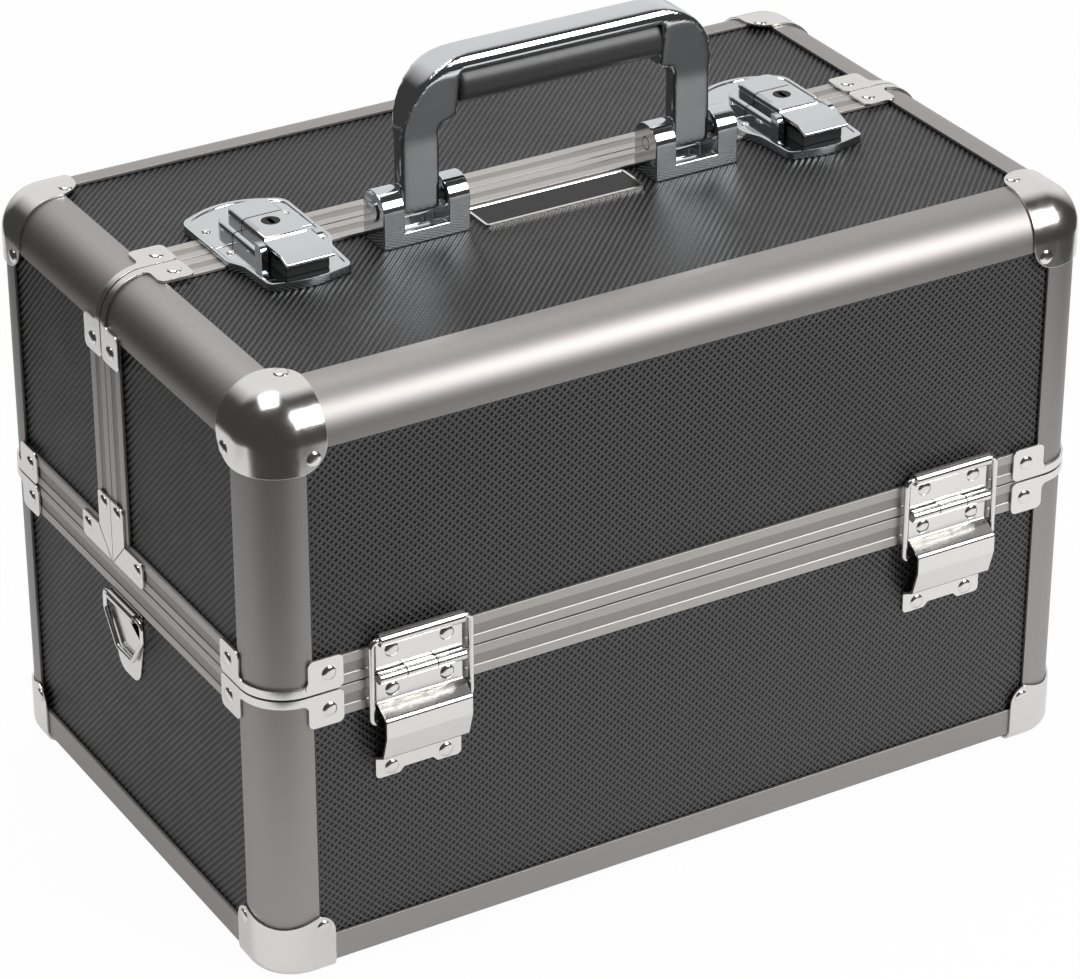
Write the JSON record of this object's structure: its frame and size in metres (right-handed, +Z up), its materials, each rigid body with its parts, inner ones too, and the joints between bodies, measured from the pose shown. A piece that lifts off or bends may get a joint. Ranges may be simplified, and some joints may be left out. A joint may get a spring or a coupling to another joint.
{
  "type": "makeup train case",
  "caption": "Hard-sided makeup train case whose split top opens as two wings on stayed hinges, swinging out stepped trays on parallel arms, with a folding handle and lever latches.",
  "frame": {"origin": "on the floor under the middle of the case", "axes": "+X along the width, -Y towards the front, +Z up"},
  "size_m": [0.3652, 0.2396, 0.311],
  "materials": {
    "black_laminate": "embossed laminate, satin black",
    "gunmetal_aluminium": "satin gunmetal anodised",
    "bright_plate": "bright nickel-chrome plate",
    "grip_plastic": "moulded black",
    "tray_plastic": "moulded black",
    "arm_steel": "bright zinc plate",
    "foot_rubber": "moulded black"
  },
  "bodies": {
    "base": {"base_front_panel": "black_laminate", "base_rear_panel": "black_laminate", "base_end_panels": "black_laminate", "base_floor_panel": "black_laminate", "base_corner_posts": "gunmetal_aluminium", "base_bottom_rails": "gunmetal_aluminium", "base_rim_rails": "gunmetal_aluminium", "bottom_corner_caps": "bright_plate", "base_corner_brackets": "bright_plate", "rubber_feet": "foot_rubber", "hinge_lower_leaves": "bright_plate", "hinge_pins": "bright_plate", "ring_plates": "bright_plate"},
    "front_wing": {"front_wing_top_panel": "black_laminate", "front_wing_face_panel": "black_laminate", "front_wing_end_panels": "black_laminate", "front_wing_edge_extrusions": "gunmetal_aluminium", "front_wing_seam_and_rim_rails": "gunmetal_aluminium", "front_wing_top_corner_caps": "bright_plate", "front_wing_corner_brackets": "bright_plate", "front_wing_end_clips": "bright_plate", "front_wing_tee_brackets": "bright_plate", "front_wing_hinge_leaves": "bright_plate", "handle_brackets": "bright_plate", "handle_pins": "bright_plate", "latch_bodies": "bright_plate"},
    "rear_wing": {"rear_wing_top_panel": "black_laminate", "rear_wing_face_panel": "black_laminate", "rear_wing_end_panels": "black_laminate", "rear_wing_edge_extrusions": "gunmetal_aluminium", "rear_wing_seam_and_rim_rails": "gunmetal_aluminium", "rear_wing_top_corner_caps": "bright_plate", "rear_wing_corner_brackets": "bright_plate", "rear_wing_end_clips": "bright_plate", "rear_wing_tee_brackets": "bright_plate", "rear_wing_hinge_leaves": "bright_plate", "latch_keepers": "bright_plate"},
    "front_hinge_stays": {"front_hinge_stays": "bright_plate"},
    "front_fore_arms": {"front_fore_arms": "arm_steel"},
    "front_aft_arms": {"front_aft_arms": "arm_steel"},
    "front_lower_tray": {"front_lower_tray": "tray_plastic"},
    "front_upper_tray": {"front_upper_tray": "tray_plastic"},
    "rear_hinge_stays": {"rear_hinge_stays": "bright_plate"},
    "rear_fore_arms": {"rear_fore_arms": "arm_steel"},
    "rear_aft_arms": {"rear_aft_arms": "arm_steel"},
    "rear_lower_tray": {"rear_lower_tray": "tray_plastic"},
    "rear_upper_tray": {"rear_upper_tray": "tray_plastic"},
    "handle": {"handle_frame": "bright_plate", "handle_grip": "grip_plastic"},
    "latch_lever_left": {"latch_lever_left": "bright_plate"},
    "latch_tongue_left": {"latch_tongue_left": "bright_plate"},
    "lock_barrel_left": {"lock_barrel_left": "bright_plate"},
    "latch_lever_right": {"latch_lever_right": "bright_plate"},
    "latch_tongue_right": {"latch_tongue_right": "bright_plate"},
    "lock_barrel_right": {"lock_barrel_right": "bright_plate"},
    "strap_ring_left": {"strap_ring_left": "bright_plate"},
    "strap_ring_right": {"strap_ring_right": "bright_plate"}
  },
  "joints": [
    {"name": "front_wing_hinge", "type": "hinge", "parent": "base", "child": "front_wing", "pos_m": [0, -0.1137, 0.1225], "axis": [1, 0, 0], "range_deg": [0, 90]},
    {"name": "front_stay_swing", "type": "hinge", "parent": "front_wing", "child": "front_hinge_stays", "pos_m": [0, -0.1136, 0.1385], "axis": [1, 0, 0], "range_deg": [-63, 0]},
    {"name": "front_fore_arm_swing", "type": "hinge", "parent": "base", "child": "front_fore_arms", "pos_m": [0, -0.08, 0.109], "axis": [1, 0, 0], "range_deg": [0, 90]},
    {"name": "front_aft_arm_swing", "type": "hinge", "parent": "base", "child": "front_aft_arms", "pos_m": [0, -0.04036, 0.109], "axis": [1, 0, 0], "range_deg": [0, 90]},
    {"name": "front_lower_tray_level", "type": "hinge", "parent": "front_fore_arms", "child": "front_lower_tray", "pos_m": [0, -0.06232, 0.12668], "axis": [1, 0, 0], "range_deg": [-90, 0]},
    {"name": "front_upper_tray_level", "type": "hinge", "parent": "front_fore_arms", "child": "front_upper_tray", "pos_m": [0, -0.04464, 0.14436], "axis": [1, 0, 0], "range_deg": [-90, 0]},
    {"name": "rear_wing_hinge", "type": "hinge", "parent": "base", "child": "rear_wing", "pos_m": [0, 0.1137, 0.1225], "axis": [-1, 0, 0], "range_deg": [0, 90]},
    {"name": "rear_stay_swing", "type": "hinge", "parent": "rear_wing", "child": "rear_hinge_stays", "pos_m": [0, 0.1136, 0.1385], "axis": [-1, 0, 0], "range_deg": [-63, 0]},
    {"name": "rear_fore_arm_swing", "type": "hinge", "parent": "base", "child": "rear_fore_arms", "pos_m": [0, 0.08, 0.109], "axis": [-1, 0, 0], "range_deg": [0, 90]},
    {"name": "rear_aft_arm_swing", "type": "hinge", "parent": "base", "child": "rear_aft_arms", "pos_m": [0, 0.06236, 0.109], "axis": [-1, 0, 0], "range_deg": [0, 90]},
    {"name": "rear_lower_tray_level", "type": "hinge", "parent": "rear_fore_arms", "child": "rear_lower_tray", "pos_m": [0, 0.06232, 0.12668], "axis": [-1, 0, 0], "range_deg": [-90, 0]},
    {"name": "rear_upper_tray_level", "type": "hinge", "parent": "rear_fore_arms", "child": "rear_upper_tray", "pos_m": [0, 0.04464, 0.14436], "axis": [-1, 0, 0], "range_deg": [-90, 0]},
    {"name": "handle_swing", "type": "hinge", "parent": "front_wing", "child": "handle", "pos_m": [0, -0.01, 0.253], "axis": [1, 0, 0], "range_deg": [-88, 88]},
    {"name": "latch_lever_left_lift", "type": "hinge", "parent": "front_wing", "child": "latch_lever_left", "pos_m": [-0.11285, -0.0096, 0.2492], "axis": [-1, 0, 0], "range_deg": [0, 70]},
    {"name": "latch_tongue_left_slide", "type": "slide", "parent": "front_wing", "child": "latch_tongue_left", "axis": [0, 1, 0], "range_m": [-0.0045, 0]},
    {"name": "lock_barrel_left_turn", "type": "hinge", "parent": "front_wing", "child": "lock_barrel_left", "pos_m": [-0.11285, 0.0048, 0.2515], "axis": [0, 0, 1], "range_deg": [0, 90]},
    {"name": "strap_ring_left_swing", "type": "hinge", "parent": "base", "child": "strap_ring_left", "pos_m": [-0.18055, 0.005, 0.106], "axis": [0, 1, 0], "range_deg": [0, 120]},
    {"name": "latch_lever_right_lift", "type": "hinge", "parent": "front_wing", "child": "latch_lever_right", "pos_m": [0.11285, -0.0096, 0.2492], "axis": [-1, 0, 0], "range_deg": [0, 70]},
    {"name": "latch_tongue_right_slide", "type": "slide", "parent": "front_wing", "child": "latch_tongue_right", "axis": [0, 1, 0], "range_m": [-0.0045, 0]},
    {"name": "lock_barrel_right_turn", "type": "hinge", "parent": "front_wing", "child": "lock_barrel_right", "pos_m": [0.11285, 0.0048, 0.2515], "axis": [0, 0, 1], "range_deg": [0, 90]},
    {"name": "strap_ring_right_swing", "type": "hinge", "parent": "base", "child": "strap_ring_right", "pos_m": [0.18055, 0.005, 0.106], "axis": [0, -1, 0], "range_deg": [0, 120]}
  ],
  "couplings": [
    {"joint": "front_stay_swing", "follows": "front_wing_hinge", "ratio": -0.691},
    {"joint": "front_fore_arm_swing", "follows": "front_wing_hinge", "ratio": 1},
    {"joint": "front_aft_arm_swing", "follows": "front_wing_hinge", "ratio": 1},
    {"joint": "front_lower_tray_level", "follows": "front_wing_hinge", "ratio": -1},
    {"joint": "front_upper_tray_level", "follows": "front_wing_hinge", "ratio": -1},
    {"joint": "rear_stay_swing", "follows": "rear_wing_hinge", "ratio": -0.691},
    {"joint": "rear_fore_arm_swing", "follows": "rear_wing_hinge", "ratio": 1},
    {"joint": "rear_aft_arm_swing", "follows": "rear_wing_hinge", "ratio": 1},
    {"joint": "rear_lower_tray_level", "follows": "rear_wing_hinge", "ratio": -1},
    {"joint": "rear_upper_tray_level", "follows": "rear_wing_hinge", "ratio": -1},
    {"joint": "latch_tongue_left_slide", "follows": "latch_lever_left_lift", "m_per_rad": -0.0036815},
    {"joint": "latch_tongue_right_slide", "follows": "latch_lever_right_lift", "m_per_rad": -0.0036815}
  ]
}
